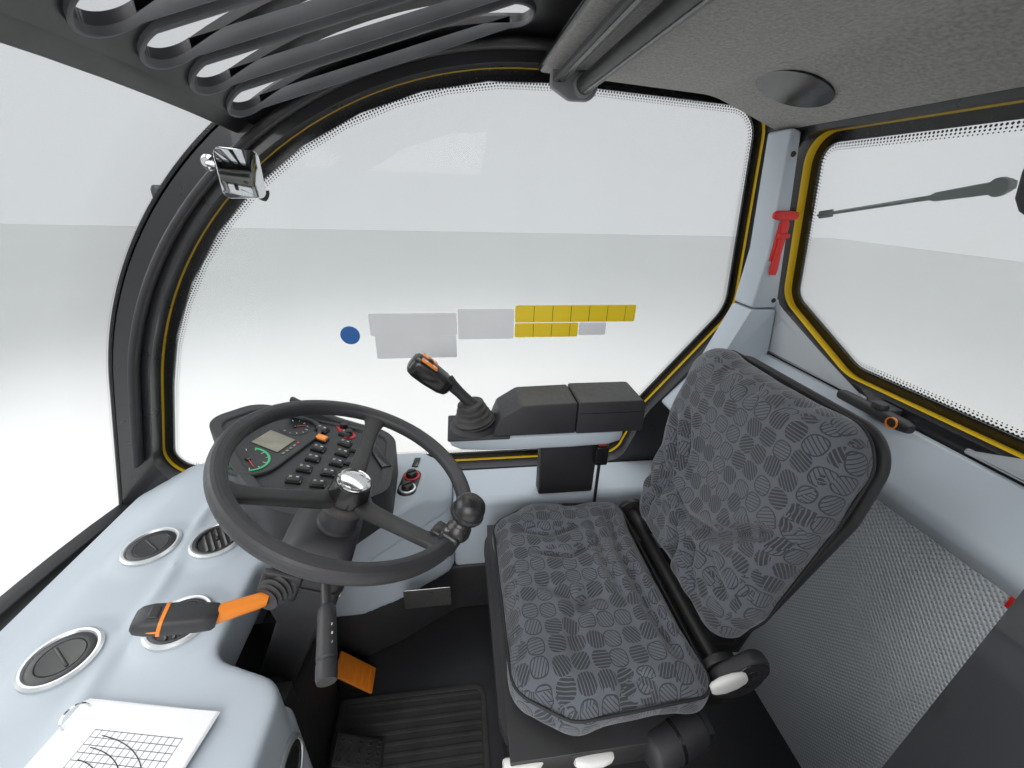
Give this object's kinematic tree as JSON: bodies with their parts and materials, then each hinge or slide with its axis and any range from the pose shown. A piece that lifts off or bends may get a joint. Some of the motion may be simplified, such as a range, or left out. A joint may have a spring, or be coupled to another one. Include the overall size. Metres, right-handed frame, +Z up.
{
  "type": "telehandler operator's cab",
  "caption": "Rounded operator's cab of a telehandler, open door, curved windscreen, grey dash, steering wheel, arm console with joystick and sprung seat.",
  "frame": {"origin": "centre of the four holes of the rubber mounts at the underside of the feet", "axes": "+Z up, front of the cab at -Y, door side at +X"},
  "size_m": [2.2495, 1.8333, 1.6838],
  "materials": {
    "cab_paint": "satin",
    "black_paint": "satin",
    "roof_shell": "satin",
    "clear_glass": "clear",
    "grey_moulding": "fine grain",
    "black_moulding": "fine grain",
    "lining_felt": "felt",
    "wheel_grip": "soft touch",
    "rubber_black": "matte",
    "seat_fabric": "woven",
    "seat_steel": "satin",
    "lever_orange": "satin",
    "blind_metal": "brushed",
    "lamp_black": "satin"
  },
  "bodies": {
    "cab": {"side_wall_right": "cab_paint", "side_wall_left": "cab_paint", "rear_wall": "cab_paint", "front_header": "black_paint", "cowl": "black_paint", "front_wall": "black_paint", "floor_frame": "black_paint", "roof_guard": "black_paint", "roof_cover": "roof_shell", "roof_glass": "clear_glass", "windscreen": "clear_glass", "right_window": "clear_glass", "quarter_window": "clear_glass", "rear_window": "clear_glass", "headliner": "lining_felt", "post_trim_left": "black_moulding", "post_trim_right": "black_moulding", "corner_trim_left": "grey_moulding", "corner_trim_right": "grey_moulding", "rear_panel": "grey_moulding", "rear_lining": "grey_moulding", "rear_window_handle": "black_moulding", "side_console": "grey_moulding", "dash": "grey_moulding", "dash_lower_right": "grey_moulding", "knee_panel": "grey_moulding", "heater_box": "black_moulding", "instrument_pod": "black_moulding", "air_vents": "black_moulding", "column_base": "black_moulding", "pedals": "lever_orange", "floor_mat": "rubber_black", "seat_base": "black_moulding", "seat_bellows": "rubber_black", "seat_rails": "seat_steel", "arm_support": "grey_moulding", "arm_pad": "black_moulding", "joystick": "black_moulding", "cab_mirror": "black_moulding", "roller_blind": "blind_metal", "wipers": "seat_steel", "wiper_motor": "black_moulding", "work_lamps": "lamp_black", "door_hinges": "black_paint"},
    "column": {"steering_column": "black_moulding", "shuttle_lever": "lever_orange"},
    "wheel": {"steering_wheel": "wheel_grip", "spinner_knob": "wheel_grip"},
    "seat": {"seat_pan": "seat_steel", "seat_cushion": "seat_fabric", "recliner_cover": "black_moulding", "belt_buckle": "black_moulding"},
    "back": {"back_cushion": "seat_fabric", "back_shell": "black_moulding", "back_bracket": "seat_steel"},
    "door": {"door_frame": "black_paint", "door_glass": "clear_glass", "door_handles": "black_moulding"}
  },
  "joints": [
    {"name": "door_hinge", "type": "hinge", "parent": "cab", "child": "door", "pos_m": [0.512, 0.382, 0.8], "axis": [0, 0, 1], "range_deg": [-100, 70]},
    {"name": "column_tilt", "type": "hinge", "parent": "cab", "child": "column", "pos_m": [0, -0.30678, 0.47], "axis": [1, 0, 0], "range_deg": [-8, 8]},
    {"name": "wheel_turn", "type": "hinge", "parent": "column", "child": "wheel", "pos_m": [0, -0.114, 0.903], "axis": [0, 0.4067, 0.9135], "continuous": true},
    {"name": "seat_slide", "type": "slide", "parent": "cab", "child": "seat", "axis": [0, 1, 0], "range_m": [-0.08, 0.03]},
    {"name": "back_recline", "type": "hinge", "parent": "seat", "child": "back", "pos_m": [0, 0.47, 0.59], "axis": [1, 0, 0], "range_deg": [-6, 8]}
  ]
}
